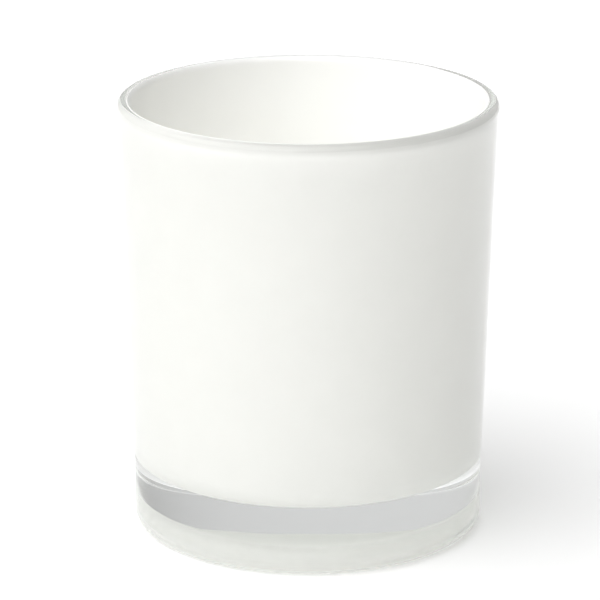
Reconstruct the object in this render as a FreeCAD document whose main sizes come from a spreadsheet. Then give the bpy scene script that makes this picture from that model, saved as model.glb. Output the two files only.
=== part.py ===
"""An empty candle jar: a clear glass tumbler with a thick base, lined inside with white lacquer.

The frame is in millimetres. +Z is up, along the jar's axis, and the origin is the centre of the
foot, on the surface that the jar stands on. Both pieces are turned from a half section, drawn in
the XZ plane with the sketch's X as the radius and its Y as the height.
"""

import FreeCAD
import Part
import math
import os

import Sketcher

# The driving dimensions: alias, value in millimetres or degrees, and what it is.
SIZES = [
    ("jar_height", 93.0, "foot to the top of the rim"),
    ("rim_radius", 40.0, "outside of the rim bead, the widest place"),
    ("bead_radius", 1.45, "section radius of the fire-polished rim bead"),
    ("neck_radius", 4.0, "hollow rounding that runs from the wall into the bead"),
    ("wall_top_radius", 39.8, "outside of the wall, carried up to the bead's middle"),
    ("wall_blend_radius", 60.0, "long hollow rounding from the base's side into the taper"),
    ("base_side_height", 10.0, "height up to which the base's side is upright"),
    ("base_radius", 37.05, "outside of the thick base, just above the heel"),
    ("heel_radius", 3.2, "rounding between the base's side and its foot"),
    ("foot_inner_radius", 33.2, "inner edge of the narrow ring that the jar stands on"),
    ("foot_edge_radius", 1.0, "rounding between that ring and the hollow under the base"),
    ("punt_depth", 3.9, "height of the hollow under the base"),
    ("punt_flat_radius", 23.8, "flat middle of that hollow"),
    ("floor_height", 13.9, "inside floor of the glass, above the foot"),
    ("floor_corner_radius", 4.5, "rounding between the inside wall and floor"),
    ("bore_foot_radius", 33.4, "inside of the glass wall at the top of that rounding"),
    ("lacquer_thickness", 0.15, "thickness of the white lacquer coat"),
    ("lacquer_wrap_angle", 62.0, "how far the lacquer climbs the bead's inner side"),
]

SHEET_NAME = "sizes"
PARTS_FOLDER = "parts"

X_AXIS, Y_AXIS = -1, -2
START, END, CENTRE = 1, 2, 3


def make_sheet(doc):
    """Writes the driving dimensions to a spreadsheet, each with an alias."""
    sheet = doc.addObject("Spreadsheet::Sheet", SHEET_NAME)
    for row, (alias, value, meaning) in enumerate(SIZES, start=1):
        sheet.set(f"A{row}", alias)
        sheet.set(f"B{row}", str(value))
        sheet.set(f"C{row}", meaning)
        sheet.setAlias(f"B{row}", alias)
    doc.recompute()
    return sheet


class HalfSection:
    """A sketch in a body's XZ plane whose dimensions are bound to the sheet's cells."""

    def __init__(self, body, name):
        self.sketch = body.newObject("Sketcher::SketchObject", name)
        plane = next(f for f in body.Origin.OriginFeatures if f.Role == "XZ_Plane")
        self.sketch.AttachmentSupport = [(plane, "")]
        self.sketch.MapMode = "FlatFace"

    def line(self, start, end):
        a, b = FreeCAD.Vector(*start, 0), FreeCAD.Vector(*end, 0)
        return self.sketch.addGeometry(Part.LineSegment(a, b), False)

    def point(self, place):
        """A construction point, which only guides other geometry."""
        return self.sketch.addGeometry(Part.Point(FreeCAD.Vector(*place, 0)), True)

    def arc(self, centre, radius, first_deg, last_deg):
        """An arc drawn anticlockwise."""
        circle = Part.Circle(FreeCAD.Vector(*centre, 0), FreeCAD.Vector(0, 0, 1), radius)
        first, last = math.radians(first_deg), math.radians(last_deg)
        return self.sketch.addGeometry(Part.ArcOfCircle(circle, first, last), False)

    def meet(self, *pairs):
        """Each pair of ends meets at a corner."""
        for first, second in pairs:
            self.sketch.addConstraint(Sketcher.Constraint("Coincident", *first, *second))

    def flow(self, *pairs):
        """Each pair of ends meets in a smooth join."""
        for first, second in pairs:
            self.sketch.addConstraint(Sketcher.Constraint("Tangent", *first, *second))

    def lie_on(self, line, *points):
        for point in points:
            self.sketch.addConstraint(Sketcher.Constraint("PointOnObject", *point, line))

    def level(self, *lines):
        for line in lines:
            self.sketch.addConstraint(Sketcher.Constraint("Horizontal", line))

    def upright(self, line):
        self.sketch.addConstraint(Sketcher.Constraint("Vertical", line))

    def radius(self, arc, formula):
        self._bind(Sketcher.Constraint("Radius", arc, self.sketch.Geometry[arc].Radius), formula)

    def out(self, point, formula):
        """The point's distance from the jar's axis."""
        place = self.sketch.getPoint(*point)
        self._bind(Sketcher.Constraint("DistanceX", X_AXIS, START, *point, place.x), formula)

    def up(self, point, formula):
        """The point's height above the foot."""
        place = self.sketch.getPoint(*point)
        self._bind(Sketcher.Constraint("DistanceY", X_AXIS, START, *point, place.y), formula)

    def _bind(self, constraint, formula):
        index = self.sketch.addConstraint(constraint)
        self.sketch.setExpression(f"Constraints[{index}]", formula)


def revolve(body, section, name):
    """Turns a half section round the jar's axis, the sketch's upright axis."""
    turned = body.newObject("PartDesign::Revolution", name)
    turned.Profile = section.sketch
    turned.ReferenceAxis = (section.sketch, ["V_Axis"])
    turned.Angle = 360
    section.sketch.Visibility = False
    return turned


def bead_centre(size):
    return size.rim_radius - size.bead_radius, size.jar_height - size.bead_radius


def on_circle(centre, radius, degrees):
    angle = math.radians(degrees)
    return centre[0] + radius * math.cos(angle), centre[1] + radius * math.sin(angle)


def taper(wall_top, centre, radius):
    """Degrees that a wall through its top leans outward when it just touches a circle."""
    across, along = wall_top[0] - centre[0], wall_top[1] - centre[1]
    reach = math.acos(radius / math.hypot(across, along))
    return 180 - math.degrees(math.atan2(along, across) + reach)


def hold_bead(section, arc, radius_formula):
    """Puts an arc's centre in the middle of the rim bead and sets its radius."""
    section.out((arc, CENTRE), "sizes.rim_radius - sizes.bead_radius")
    section.up((arc, CENTRE), "sizes.jar_height - sizes.bead_radius")
    section.radius(arc, radius_formula)


def make_glass(doc, size):
    """The tumbler: foot, heel, thick base, tapered wall, bead, bore and inside floor."""
    body = doc.addObject("PartDesign::Body", "GlassJar")
    body.Label = "glass_jar"
    section = HalfSection(body, "GlassSection")

    foot_out = (size.base_radius - size.heel_radius, 0)
    side_foot = (size.base_radius, size.heel_radius)
    side_top = (size.base_radius, size.base_side_height)
    blend_centre = (size.base_radius + size.wall_blend_radius, size.base_side_height)
    rim_centre = bead_centre(size)
    wall_top = (size.wall_top_radius, rim_centre[1])
    lean = taper(wall_top, blend_centre, size.wall_blend_radius)
    wall_foot = on_circle(blend_centre, size.wall_blend_radius, 180 - lean)
    bead_inset = (wall_top[0] - rim_centre[0]) * math.cos(math.radians(lean))
    neck_turn = math.degrees(
        math.acos((size.neck_radius + bead_inset) / (size.neck_radius + size.bead_radius)))
    neck_deg = 180 - lean - neck_turn
    neck_centre = on_circle(rim_centre, size.neck_radius + size.bead_radius, neck_deg - 180)
    neck_foot = on_circle(neck_centre, size.neck_radius, 180 - lean)
    corner_centre = (
        size.bore_foot_radius - size.floor_corner_radius,
        size.floor_height + size.floor_corner_radius,
    )
    bore_foot = (size.bore_foot_radius, corner_centre[1])
    bore_top = (rim_centre[0] - size.bead_radius, rim_centre[1])
    dish_run = size.foot_inner_radius - size.punt_flat_radius
    dish_turn = 2 * math.atan2(size.punt_depth, dish_run)
    dish_radius = dish_run / math.sin(dish_turn) - size.foot_edge_radius
    dish_deg = math.degrees(dish_turn)

    edge = section.arc(
        (size.foot_inner_radius, size.foot_edge_radius), size.foot_edge_radius,
        -90 - dish_deg, -90)
    dish = section.arc(
        (size.punt_flat_radius, size.punt_depth - dish_radius), dish_radius, 90 - dish_deg, 90)
    punt = section.line((size.punt_flat_radius, size.punt_depth), (0, size.punt_depth))
    foot = section.line((size.foot_inner_radius, 0), foot_out)
    heel = section.arc((foot_out[0], size.heel_radius), size.heel_radius, -90, 0)
    side = section.line(side_foot, side_top)
    blend = section.arc(blend_centre, size.wall_blend_radius, 180 - lean, 180)
    wall = section.line(wall_foot, neck_foot)
    neck = section.arc(neck_centre, size.neck_radius, neck_deg, 180 - lean)
    bead = section.arc(rim_centre, size.bead_radius, neck_deg - 180, 180)
    bore = section.line(bore_top, bore_foot)
    corner = section.arc(corner_centre, size.floor_corner_radius, -90, 0)
    floor = section.line((corner_centre[0], size.floor_height), (0, size.floor_height))
    axis = section.line((0, size.floor_height), (0, size.punt_depth))
    wall_aim = section.point(wall_top)

    hold_bead(section, bead, "sizes.bead_radius")
    section.radius(heel, "sizes.heel_radius")
    section.radius(blend, "sizes.wall_blend_radius")
    section.radius(neck, "sizes.neck_radius")
    section.radius(corner, "sizes.floor_corner_radius")
    section.out((wall_aim, START), "sizes.wall_top_radius")
    section.up((wall_aim, START), "sizes.jar_height - sizes.bead_radius")
    section.out((side, START), "sizes.base_radius")
    section.up((side, END), "sizes.base_side_height")
    section.radius(edge, "sizes.foot_edge_radius")
    section.out((foot, START), "sizes.foot_inner_radius")
    section.out((punt, START), "sizes.punt_flat_radius")
    section.up((punt, END), "sizes.punt_depth")
    section.out((bore, END), "sizes.bore_foot_radius")
    section.up((floor, END), "sizes.floor_height")
    section.lie_on(wall, (wall_aim, START))
    section.lie_on(Y_AXIS, (punt, END), (floor, END))
    section.lie_on(X_AXIS, (foot, START), (foot, END))
    section.level(floor, punt)
    section.upright(side)
    section.meet(((floor, END), (axis, START)), ((axis, END), (punt, END)))
    section.flow(
        ((punt, START), (dish, END)), ((dish, START), (edge, START)), ((edge, END), (foot, START)),
        ((foot, END), (heel, START)), ((heel, END), (side, START)),
        ((side, END), (blend, END)), ((blend, START), (wall, START)), ((wall, END), (neck, END)),
        ((neck, START), (bead, START)), ((bead, END), (bore, START)),
        ((bore, END), (corner, END)), ((corner, START), (floor, START)),
    )
    revolve(body, section, "TurnedGlass")
    return body


def make_lining(doc, size):
    """The lacquer coat: an even skin on the glass's inside floor, wall and rim rounding."""
    body = doc.addObject("PartDesign::Body", "WhiteLining")
    body.Label = "white_lining"
    section = HalfSection(body, "LiningSection")
    skin = size.lacquer_thickness
    wrap = math.radians(size.lacquer_wrap_angle)
    end_deg = 180 - size.lacquer_wrap_angle
    centre_out, centre_up = bead_centre(size)
    corner_up = size.floor_height + size.floor_corner_radius
    corner_out = size.bore_foot_radius - size.floor_corner_radius

    def face(offset):
        """One face of the coat, from the axis to the bead: its floor, corner, wall and rim."""
        floor_up = size.floor_height + offset
        wall_out = size.bore_foot_radius - offset
        ring = size.bead_radius + offset
        floor = section.line((0, floor_up), (corner_out, floor_up))
        corner = section.arc(
            (corner_out, corner_up), size.floor_corner_radius - offset, -90, 0)
        wall = section.line((wall_out, corner_up), (centre_out - ring, centre_up))
        rim = section.arc((centre_out, centre_up), ring, end_deg, 180)
        section.level(floor)
        section.lie_on(Y_AXIS, (floor, START))
        return floor, corner, wall, rim

    outer_floor, outer_corner, outer_wall, outer_rim = face(0)
    inner_floor, inner_corner, inner_wall, inner_rim = face(skin)
    rim_end = [
        (centre_out - ring * math.cos(wrap), centre_up + ring * math.sin(wrap))
        for ring in (size.bead_radius, size.bead_radius + skin)
    ]
    edge = section.line(*rim_end)
    axis = section.line((0, size.floor_height + skin), (0, size.floor_height))

    hold_bead(section, outer_rim, "sizes.bead_radius")
    hold_bead(section, inner_rim, "sizes.bead_radius + sizes.lacquer_thickness")
    section.radius(outer_corner, "sizes.floor_corner_radius")
    section.up((outer_floor, START), "sizes.floor_height")
    section.up((inner_floor, START), "sizes.floor_height + sizes.lacquer_thickness")
    section.out((outer_wall, START), "sizes.bore_foot_radius")
    rise = "sizes.jar_height - sizes.bead_radius + {} * sin(sizes.lacquer_wrap_angle * 1 deg)"
    section.up((edge, START), rise.format("sizes.bead_radius"))
    section.up((edge, END), rise.format("(sizes.bead_radius + sizes.lacquer_thickness)"))
    section.meet(
        ((outer_rim, START), (edge, START)), ((edge, END), (inner_rim, START)),
        ((inner_floor, START), (axis, START)), ((axis, END), (outer_floor, START)),
        ((inner_corner, CENTRE), (outer_corner, CENTRE)),
    )
    section.flow(
        ((outer_floor, END), (outer_corner, START)), ((outer_corner, END), (outer_wall, START)),
        ((outer_wall, END), (outer_rim, END)),
        ((inner_floor, END), (inner_corner, START)), ((inner_corner, END), (inner_wall, START)),
        ((inner_wall, END), (inner_rim, END)),
    )
    revolve(body, section, "TurnedLining")
    return body


class Sizes:
    """The sheet's cells as plain numbers, for the sketches' first places."""

    def __init__(self, sheet):
        for alias, _, _ in SIZES:
            setattr(self, alias, float(sheet.get(alias)))


def check(doc, bodies):
    """Stops the script unless every object is computed and every piece is one sound solid."""
    for item in doc.Objects:
        if "Invalid" in item.State or "Error" in item.State:
            raise RuntimeError(f"{item.Name} was not computed: {item.State}")
    for item in doc.findObjects("Sketcher::SketchObject"):
        if item.solve() != 0 or not item.FullyConstrained:
            raise RuntimeError(f"{item.Name} is not fully constrained")
    for body in bodies:
        shape = body.Shape
        if shape.isNull() or not shape.isValid() or len(shape.Solids) != 1:
            raise RuntimeError(f"{body.Label} is not one valid solid")
    glass, lining = (body.Shape for body in bodies)
    overlap = glass.common(lining).Volume
    if overlap > 0.01:
        raise RuntimeError(f"the lining cuts {overlap:.3f} mm3 into the glass")


def brim_volume(glass, lining, size):
    """The room inside the jar up to the rim, in millilitres."""
    full = Part.makeCylinder(size.rim_radius - size.bead_radius, size.jar_height)
    left = full.cut(glass).cut(lining)
    inside = max(left.Solids, key=lambda solid: solid.CenterOfMass.z)
    return inside.Volume / 1000


def main():
    doc = FreeCAD.newDocument("CandleJar")
    size = Sizes(make_sheet(doc))
    bodies = [make_glass(doc, size), make_lining(doc, size)]
    doc.recompute()
    check(doc, bodies)
    os.makedirs(PARTS_FOLDER, exist_ok=True)
    for body in bodies:
        body.Shape.exportStep(os.path.join(PARTS_FOLDER, body.Label + ".step"))
        box = body.Shape.optimalBoundingBox()
        print(
            f"{body.Label}: {box.XLength:.2f} x {box.YLength:.2f} x {box.ZLength:.2f} mm,"
            f" z from {box.ZMin:.2f} to {box.ZMax:.2f}, {body.Shape.Volume / 1000:.2f} ml"
        )
    inside = brim_volume(bodies[0].Shape, bodies[1].Shape, size)
    print(f"the jar holds {inside:.0f} ml to the brim")


main()
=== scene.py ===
"""Looks for the empty candle jar: pressed clear glass with a white lacquer coat inside.

Metres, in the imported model's frame: +Z up the jar's axis, origin in the middle of the foot.
Both pieces are fine turned meshes that stand for the two CAD solids.
"""

import math

import bpy
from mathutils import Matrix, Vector, noise


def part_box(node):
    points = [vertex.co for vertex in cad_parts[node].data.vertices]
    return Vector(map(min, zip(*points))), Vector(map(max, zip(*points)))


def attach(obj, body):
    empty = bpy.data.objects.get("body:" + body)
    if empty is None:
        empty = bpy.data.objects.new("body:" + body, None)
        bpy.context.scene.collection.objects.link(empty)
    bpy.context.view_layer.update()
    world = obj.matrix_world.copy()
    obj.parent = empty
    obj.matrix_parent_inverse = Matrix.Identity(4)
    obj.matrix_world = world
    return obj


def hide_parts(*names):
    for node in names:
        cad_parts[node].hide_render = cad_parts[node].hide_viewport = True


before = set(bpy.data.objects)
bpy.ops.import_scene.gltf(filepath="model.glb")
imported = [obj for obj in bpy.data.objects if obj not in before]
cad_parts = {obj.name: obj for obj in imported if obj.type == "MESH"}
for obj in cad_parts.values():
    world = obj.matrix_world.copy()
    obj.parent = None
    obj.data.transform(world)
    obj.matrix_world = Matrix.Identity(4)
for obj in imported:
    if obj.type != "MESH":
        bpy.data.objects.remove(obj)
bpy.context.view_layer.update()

MM = 0.001

# The jar's section, in metres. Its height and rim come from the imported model.
_, GLASS_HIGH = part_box("glass_jar")
RIM_RADIUS = GLASS_HIGH.x
JAR_HEIGHT = GLASS_HIGH.z
BEAD_RADIUS = 1.45 * MM
NECK_RADIUS = 4.0 * MM
WALL_TOP_RADIUS = RIM_RADIUS - 0.2 * MM
WALL_BLEND_RADIUS = 60.0 * MM
BASE_SIDE_HEIGHT = 10.0 * MM
BASE_RADIUS = 37.05 * MM
HEEL_RADIUS = 3.2 * MM
FOOT_INNER_RADIUS = 33.2 * MM
FOOT_EDGE_RADIUS = 1.0 * MM
PUNT_DEPTH = 3.9 * MM
PUNT_FLAT_RADIUS = 23.8 * MM
FLOOR_HEIGHT = 13.9 * MM
FLOOR_CORNER_RADIUS = 4.5 * MM
BORE_FOOT_RADIUS = 33.4 * MM
COAT = 0.15 * MM
COAT_WRAP = math.radians(62)
BOND = 0.02 * MM  # how far the coat's bonded face is sunk into the glass, so they touch all over

# Pressed glass is never quite true: how far each face strays, how far apart its swells are, and
# the seed that makes them its own.
SKIN_WAVE, SKIN_REACH, SKIN_SEED = 0.05 * MM, 17 * MM, 11
BORE_WAVE, BORE_REACH, BORE_SEED = 0.06 * MM, 22 * MM, 23
PUNT_WAVE, PUNT_REACH, PUNT_SEED = 0.04 * MM, 9 * MM, 37
RIM_DIP, RIM_REACH, RIM_SEED = 0.12 * MM, 30 * MM, 3
RIM_DIP_DEPTH = 8.0 * MM  # the stretch below the rim that the dip fades out over
FADE = 9.0 * MM  # the stretch that a wave fades in or out over
WAVE_TOP = JAR_HEIGHT - FADE / 2  # where the waves of the outside and the inside end

TURNS = 320  # segments round the jar
ARC_STEP = math.radians(4)  # longest step of a section's arc, as an angle
RUN_STEP = 1.6 * MM  # longest step along a section
ON_AXIS = 1e-9  # a smaller radius counts as the axis


def on_circle(centre, radius, angle):
    """The section's point on a circle, at an angle."""
    return centre[0] + radius * math.cos(angle), centre[1] + radius * math.sin(angle)


def arc(centre, radius, first, last):
    """Points along an arc of the section, both ends included."""
    sweep = abs(last - first)
    count = max(2, round(sweep / ARC_STEP), round(sweep * radius / RUN_STEP))
    return [on_circle(centre, radius, first + (last - first) * i / count) for i in range(count + 1)]


def run(start, end):
    """Points along a straight of the section, without its ends."""
    count = max(1, round(math.dist(start, end) / RUN_STEP))
    return [
        (start[0] + (end[0] - start[0]) * i / count, start[1] + (end[1] - start[1]) * i / count)
        for i in range(1, count)
    ]


def bore_lean(ring, corner, rim_centre, corner_centre):
    """Angle by which the bore's line leans outward, touching the bead and the floor's rounding."""
    across, along = rim_centre[0] - corner_centre[0], rim_centre[1] - corner_centre[1]
    return math.atan2(across, along) - math.asin((ring + corner) / math.hypot(across, along))


BEAD_CENTRE = (RIM_RADIUS - BEAD_RADIUS, JAR_HEIGHT - BEAD_RADIUS)
CORNER_HEIGHT = FLOOR_HEIGHT + FLOOR_CORNER_RADIUS
DOWN = -math.pi / 2  # a section's angles: 0 points out from the axis


def inner_face(offset):
    """The jar's inside from the bead to the axis, moved by offset into the jar, and its lean."""
    ring, corner = BEAD_RADIUS + offset, FLOOR_CORNER_RADIUS - offset
    corner_centre = (BORE_FOOT_RADIUS - FLOOR_CORNER_RADIUS, CORNER_HEIGHT)
    lean = bore_lean(ring, corner, BEAD_CENTRE, corner_centre)
    top = on_circle(BEAD_CENTRE, ring, math.pi - lean)
    foot = on_circle(corner_centre, corner, -lean)
    floor_edge = (corner_centre[0], FLOOR_HEIGHT + offset)
    middle = (0, floor_edge[1])
    bend = arc(corner_centre, corner, -lean, DOWN)
    return [top, *run(top, foot), *bend, *run(floor_edge, middle), middle], lean


def underside():
    """The hollow under the base, from the axis to the ring that the jar stands on."""
    dish_run = FOOT_INNER_RADIUS - PUNT_FLAT_RADIUS
    turn = 2 * math.atan2(PUNT_DEPTH, dish_run)
    dish_radius = dish_run / math.sin(turn) - FOOT_EDGE_RADIUS
    middle, flat = (0, PUNT_DEPTH), (PUNT_FLAT_RADIUS, PUNT_DEPTH)
    dish_centre = (PUNT_FLAT_RADIUS, PUNT_DEPTH - dish_radius)
    edge_centre = (FOOT_INNER_RADIUS, FOOT_EDGE_RADIUS)
    dish = arc(dish_centre, dish_radius, -DOWN, -DOWN - turn)
    edge = arc(edge_centre, FOOT_EDGE_RADIUS, DOWN - turn, DOWN)
    return [middle, *run(middle, flat), *dish[:-1], *edge]


def outside():
    """From the foot ring round the heel, up the wall and over the rim bead."""
    heel_centre = (BASE_RADIUS - HEEL_RADIUS, HEEL_RADIUS)
    blend_centre = (BASE_RADIUS + WALL_BLEND_RADIUS, BASE_SIDE_HEIGHT)
    wall_top = (WALL_TOP_RADIUS, BEAD_CENTRE[1])
    across, along = wall_top[0] - blend_centre[0], wall_top[1] - blend_centre[1]
    reach = math.acos(WALL_BLEND_RADIUS / math.hypot(across, along))
    lean = math.pi - math.atan2(along, across) - reach
    bead_inset = (wall_top[0] - BEAD_CENTRE[0]) * math.cos(lean)
    turn = math.acos((NECK_RADIUS + bead_inset) / (NECK_RADIUS + BEAD_RADIUS))
    neck_angle = math.pi - lean - turn
    neck_centre = on_circle(BEAD_CENTRE, NECK_RADIUS + BEAD_RADIUS, neck_angle - math.pi)
    wall_foot = on_circle(blend_centre, WALL_BLEND_RADIUS, math.pi - lean)
    neck_foot = on_circle(neck_centre, NECK_RADIUS, math.pi - lean)
    _, inner_lean = inner_face(0)
    points = arc(heel_centre, HEEL_RADIUS, DOWN, 0)
    points += run((BASE_RADIUS, HEEL_RADIUS), (BASE_RADIUS, BASE_SIDE_HEIGHT))
    points += arc(blend_centre, WALL_BLEND_RADIUS, math.pi, math.pi - lean)
    points += run(wall_foot, neck_foot)
    points += arc(neck_centre, NECK_RADIUS, math.pi - lean, neck_angle)[:-1]
    return points + arc(BEAD_CENTRE, BEAD_RADIUS, neck_angle - math.pi, math.pi - inner_lean)[:-1]


def smooth(share):
    """0 to 1 along a soft ramp."""
    t = min(1.0, max(0.0, share))
    return t * t * (3 - 2 * t)


def swell(point, reach, seed):
    """A smooth field between 0 and 1 with swells about reach apart; each face has its own seed."""
    return min(1.0, max(0.0, 0.5 + 0.5 * noise.noise(point / reach + Vector((seed, 0, 0)))))


def on_jar(r, angle, z):
    """A point of the jar, with the rim's slight dip taken off its height."""
    point = Vector((r * math.cos(angle), r * math.sin(angle), z))
    level = Vector((point.x, point.y, 0))
    near_rim = smooth(1 - (JAR_HEIGHT - z) / RIM_DIP_DEPTH)
    point.z -= RIM_DIP * near_rim * swell(level, RIM_REACH, RIM_SEED)
    return point


def drawn_in(r, angle, z, wave, reach, seed, low, high):
    """A wall point drawn towards the axis by a wave that fades out at two heights."""
    true_place = Vector((r * math.cos(angle), r * math.sin(angle), z))
    fade = smooth((z - low) / FADE) * smooth((high - z) / FADE)
    return on_jar(r - wave * fade * swell(true_place, reach, seed), angle, z)


def skin(r, angle, z):
    """A point of the outside, waved from the heel to the rim."""
    return drawn_in(r, angle, z, SKIN_WAVE, SKIN_REACH, SKIN_SEED, HEEL_RADIUS, WAVE_TOP)


def bore(r, angle, z):
    """A point of the inside or of the coat on it, waved from the floor's rounding to the rim."""
    return drawn_in(r, angle, z, BORE_WAVE, BORE_REACH, BORE_SEED, CORNER_HEIGHT, WAVE_TOP)


def punt(r, angle, z):
    """A point of the underside, raised by a ripple that dies out at the foot ring."""
    point = Vector((r * math.cos(angle), r * math.sin(angle), z))
    fade = smooth((FOOT_INNER_RADIUS - r) / (FOOT_INNER_RADIUS - PUNT_FLAT_RADIUS))
    return point + Vector((0, 0, PUNT_WAVE * fade * swell(point, PUNT_REACH, PUNT_SEED)))


def turned(name, stretches):
    """A closed mesh turned from stretches of section that run from the axis back to the axis.

    Each stretch is its points, the function that places one, and its material's number.
    """
    verts, rings, marks = [], [], []
    for points, shape, mark in stretches:
        for r, z in points:
            marks.append(mark)
            if r < ON_AXIS:
                rings.append([len(verts)] * TURNS)
                verts.append(shape(0.0, 0.0, z))
                continue
            rings.append(range(len(verts), len(verts) + TURNS))
            verts += [shape(r, 2 * math.pi * i / TURNS, z) for i in range(TURNS)]
    faces, face_marks = [], []
    for low, high, mark in zip(rings, rings[1:], marks):
        for i in range(TURNS):
            j = (i + 1) % TURNS
            faces.append(tuple(dict.fromkeys((low[i], low[j], high[j], high[i]))))
            face_marks.append(mark)
    mesh = bpy.data.meshes.new(name)
    mesh.from_pydata(verts, [], faces)
    mesh.polygons.foreach_set("material_index", face_marks)
    mesh.polygons.foreach_set("use_smooth", [True] * len(faces))
    mesh.update()
    piece = bpy.data.objects.new(name, mesh)
    bpy.context.scene.collection.objects.link(piece)
    return piece


# Finishes. Colours are linear; a pair of values is what a mottle runs between.
OPAQUE = 1
PURE_WHITE = (1, 1, 1, OPAQUE)
GLASS_IOR = 1.52
GLASS_TINT = (0.84, 0.93, 0.89, OPAQUE)
TINT_DENSITY = 2.0
SCUFF_HEIGHT = 0.08 * MM  # the scuffs end here, so only the foot ring has them
SCUFF_GRAIN, SCUFF_DETAIL, SCUFF_ROUGHNESS = 0.6 * MM, 2.0, (0.05, 0.3)
CLOUD_DETAIL = 4.0
# One lacquer in two whites: a darker one as painted shade where it is seen through the glass, a
# lighter one as painted light on its free face inside the jar.
BACKED_CLOUD, BACKED_SHADED_WHITES = 7 * MM, ((0.875, 0.875, 0.855), (0.905, 0.905, 0.885))
FREE_CLOUD, FREE_LIT_WHITES = 9 * MM, ((0.945, 0.945, 0.925), (0.963, 0.963, 0.945))
SOFT_PATCH, SOFT_DETAIL, SOFT_ROUGHNESS = 8 * MM, 3.0, (0.26, 0.36)
PAPER_GRAIN, PAPER_WHITES = 3 * MM, ((0.94, 0.94, 0.94), (0.96, 0.96, 0.96))
PAPER_ROUGHNESS, PAPER_SPECULAR = 0.9, 0.2
NEAR_GLOW, FAR_GLOW = 0.08, 0.2  # painted light: the floor paper glows though it is no lamp, weakly under the jar and more far from it
NEAR, FAR = RIM_RADIUS, 4 * RIM_RADIUS  # where the glow starts to rise and where it is full


class Finish:
    """A material being made: one Principled shader, with texture nodes linked into it."""

    def __init__(self, name, **plain):
        self.made = bpy.data.materials.new(name)
        self.made.use_nodes = True
        self.tree = self.made.node_tree
        self.tree.nodes.clear()
        self.output = self.add("ShaderNodeOutputMaterial")
        self.shader = self.add("ShaderNodeBsdfPrincipled")
        self.link(self.shader.outputs["BSDF"], self.output.inputs["Surface"])
        for socket, value in plain.items():
            self.shader.inputs[socket.replace("_", " ")].default_value = value
        self.place = self.add("ShaderNodeTexCoord").outputs["Object"]

    def add(self, kind):
        """A new node of the material."""
        return self.tree.nodes.new(kind)

    def link(self, source, target):
        """Joins one node's output to another's input."""
        self.tree.links.new(source, target)

    def mottle(self, size, detail):
        """Noise whose patches are about size across, in metres."""
        texture = self.add("ShaderNodeTexNoise")
        texture.inputs["Scale"].default_value = 1 / size
        texture.inputs["Detail"].default_value = detail
        self.link(self.place, texture.inputs["Vector"])
        return texture.outputs["Fac"]

    def ranged(self, source, low, high, first=0.0, last=1.0):
        """The source's first to last, stretched to low to high."""
        ramp = self.add("ShaderNodeMapRange")
        ramp.inputs["From Min"].default_value = first
        ramp.inputs["From Max"].default_value = last
        ramp.inputs["To Min"].default_value = low
        ramp.inputs["To Max"].default_value = high
        self.link(source, ramp.inputs["Value"])
        return ramp.outputs["Result"]

    def tinted(self, source, low, high):
        """The base colour runs from low to high as the source does."""
        mix = self.add("ShaderNodeMix")
        mix.data_type = "RGBA"
        mix.inputs["A"].default_value = (*low, OPAQUE)
        mix.inputs["B"].default_value = (*high, OPAQUE)
        self.link(source, mix.inputs["Factor"])
        self.link(mix.outputs["Result"], self.shader.inputs["Base Color"])


def clear_glass():
    """Fire-polished and clear, faintly green where thick, scuffed on the ring it stands on."""
    glass = Finish("clear_glass", Base_Color=PURE_WHITE, IOR=GLASS_IOR, Transmission_Weight=1.0)
    tint = glass.add("ShaderNodeVolumeAbsorption")
    tint.inputs["Color"].default_value = GLASS_TINT
    tint.inputs["Density"].default_value = TINT_DENSITY
    glass.link(tint.outputs["Volume"], glass.output.inputs["Volume"])
    height = glass.add("ShaderNodeSeparateXYZ")
    glass.link(glass.place, height.inputs["Vector"])
    scuff = glass.ranged(height.outputs["Z"], low=1.0, high=0.0, last=SCUFF_HEIGHT)
    grain = glass.ranged(glass.mottle(SCUFF_GRAIN, SCUFF_DETAIL), *SCUFF_ROUGHNESS)
    worn = glass.add("ShaderNodeMath")
    worn.operation = "MULTIPLY"
    glass.link(scuff, worn.inputs[0])
    glass.link(grain, worn.inputs[1])
    glass.link(worn.outputs["Value"], glass.shader.inputs["Roughness"])
    return glass.made


def shaded_lacquer_on_glass():
    """The coat seen through the glass it is bonded to: no gloss of its own, faintly cloudy, and
    painted a darker white than its free face, as painted shade on the jar's outside.
    """
    coat = Finish("shaded_lacquer_on_glass", Roughness=1.0)
    coat.shader.inputs["Specular IOR Level"].default_value = 0.0
    coat.tinted(coat.mottle(BACKED_CLOUD, CLOUD_DETAIL), *BACKED_SHADED_WHITES)
    return coat.made


def lit_lacquer_inside():
    """The coat's free face: sprayed, so fairly glossy, with softer patches and faintly cloudy, and
    painted a lighter white than its bonded face, as painted light inside the jar.
    """
    coat = Finish("lit_lacquer_inside")
    coat.tinted(coat.mottle(FREE_CLOUD, CLOUD_DETAIL), *FREE_LIT_WHITES)
    softness = coat.ranged(coat.mottle(SOFT_PATCH, SOFT_DETAIL), *SOFT_ROUGHNESS)
    coat.link(softness, coat.shader.inputs["Roughness"])
    return coat.made


def glowing_floor_paper():
    """Matt white paper that glows as painted light, though it is no lamp, a little like a light
    table, and less so under the jar than far from it.
    """
    paper = Finish("glowing_floor_paper", Roughness=PAPER_ROUGHNESS, Emission_Color=PURE_WHITE)
    paper.shader.inputs["Specular IOR Level"].default_value = PAPER_SPECULAR
    distance = paper.add("ShaderNodeVectorMath")
    distance.operation = "LENGTH"
    paper.link(paper.place, distance.inputs[0])
    glow = paper.ranged(distance.outputs["Value"], NEAR_GLOW, FAR_GLOW, NEAR, FAR)
    paper.link(glow, paper.shader.inputs["Emission Strength"])
    paper.tinted(paper.mottle(PAPER_GRAIN, CLOUD_DETAIL), *PAPER_WHITES)
    return paper.made


# The tumbler, all in its one material
GLASS = 0
jar = turned("glass_tumbler", [
    (underside(), punt, GLASS), (outside(), skin, GLASS), (inner_face(0)[0], bore, GLASS),
])
jar.data.materials.append(clear_glass())
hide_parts("glass_jar")
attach(jar, "root")
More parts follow.
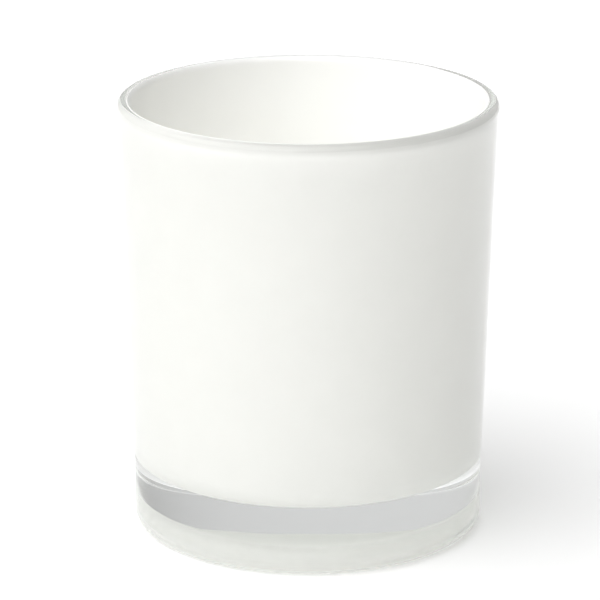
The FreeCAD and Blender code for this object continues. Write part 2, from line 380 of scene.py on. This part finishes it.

# The coat: its bonded face has the first material, in the darker painted-shade white, its free face
# the second, in the lighter painted-light white
BONDED, FREE = 0, 1
bonded_rim = arc(BEAD_CENTRE, BEAD_RADIUS - BOND, math.pi, math.pi - COAT_WRAP)[1:]
free_rim = arc(BEAD_CENTRE, BEAD_RADIUS + COAT, math.pi - COAT_WRAP, math.pi)[:-1]
bonded_face = [*reversed(inner_face(-BOND)[0]), *bonded_rim]
coat = turned("lacquer_coat", [
    (bonded_face, bore, BONDED), ([*free_rim, *inner_face(COAT)[0]], bore, FREE),
])
coat.data.materials.append(shaded_lacquer_on_glass())
coat.data.materials.append(lit_lacquer_inside())
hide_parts("white_lining")
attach(coat, "root")

# Floor: a wide level sheet
FLOOR_HALF = 6.0
corners = [(x * FLOOR_HALF, y * FLOOR_HALF, 0) for x, y in ((-1, -1), (1, -1), (1, 1), (-1, 1))]
floor_mesh = bpy.data.meshes.new("floor")
floor_mesh.from_pydata(corners, [], [range(len(corners))])
floor = bpy.data.objects.new("floor", floor_mesh)
bpy.context.scene.collection.objects.link(floor)
floor_mesh.materials.append(glowing_floor_paper())

# Camera: in front of the jar, a little above it, with a long lens
EYE_DISTANCE = 0.8057
EYE_ELEVATION = math.radians(17.08)
AIM = Vector((-0.00169, 0, 0.04877))
LENS, SENSOR_WIDTH = 228.0, 36.0  # millimetres, as Blender takes them
CLIP_END = 50
camera = bpy.data.objects.new("camera", bpy.data.cameras.new("camera"))
bpy.context.scene.collection.objects.link(camera)
bpy.context.scene.camera = camera
camera.data.lens = LENS
camera.data.sensor_width = SENSOR_WIDTH
camera.data.clip_end = CLIP_END
camera.location = Vector((0, -math.cos(EYE_ELEVATION), math.sin(EYE_ELEVATION))) * EYE_DISTANCE
camera.location.z += AIM.z
camera.rotation_euler = (AIM - camera.location).to_track_quat("-Z", "Y").to_euler()

# Bounces: many, for light that goes round in the thick base and inside the white jar
MOST_BOUNCES, GLASS_BOUNCES, WHITE_BOUNCES = 48, 24, 16
scene = bpy.context.scene
scene.view_settings.view_transform = "Standard"
scene.cycles.blur_glossy = 0.0
scene.cycles.max_bounces = MOST_BOUNCES
scene.cycles.transmission_bounces = GLASS_BOUNCES
scene.cycles.glossy_bounces = GLASS_BOUNCES
scene.cycles.diffuse_bounces = WHITE_BOUNCES


def heading(azimuth, elevation):
    """Unit vector; azimuth 0 is behind the jar and 90 on its right, in degrees."""
    a, e = math.radians(azimuth), math.radians(elevation)
    return math.cos(e) * math.sin(a), math.cos(e) * math.cos(a), math.sin(e)


# Soft lights of the studio: the way to each one's middle, the cosine where it fades out, and
# its strength at the middle.
LOBES = [
    (heading(-20, 0), -0.45, 0.52),  # pale wall behind
    (heading(-143, 50), 0.45, 2.1),  # large soft key, high on the left of the camera
]
DARK_SIDE = 0.12  # light from everywhere else

world = bpy.data.worlds.new("studio")
scene.world = world
world.use_nodes = True
nodes, links = world.node_tree.nodes, world.node_tree.links
background = nodes["Background"]
direction = nodes.new("ShaderNodeTexCoord").outputs["Generated"]
total = None
for aim, edge, strength in LOBES:
    facing = nodes.new("ShaderNodeVectorMath")
    facing.operation = "DOT_PRODUCT"
    links.new(direction, facing.inputs[0])
    facing.inputs[1].default_value = aim
    ramp = nodes.new("ShaderNodeMapRange")
    ramp.interpolation_type = "SMOOTHSTEP"
    ramp.inputs["From Min"].default_value = edge
    ramp.inputs["From Max"].default_value = 1.0
    ramp.inputs["To Max"].default_value = strength
    links.new(facing.outputs["Value"], ramp.inputs["Value"])
    add = nodes.new("ShaderNodeMath")
    add.operation = "ADD"
    links.new(ramp.outputs[0], add.inputs[0])
    if total is None:
        add.inputs[1].default_value = DARK_SIDE
    else:
        links.new(total, add.inputs[1])
    total = add.outputs[0]
links.new(total, background.inputs["Strength"])
background.inputs["Color"].default_value = PURE_WHITE
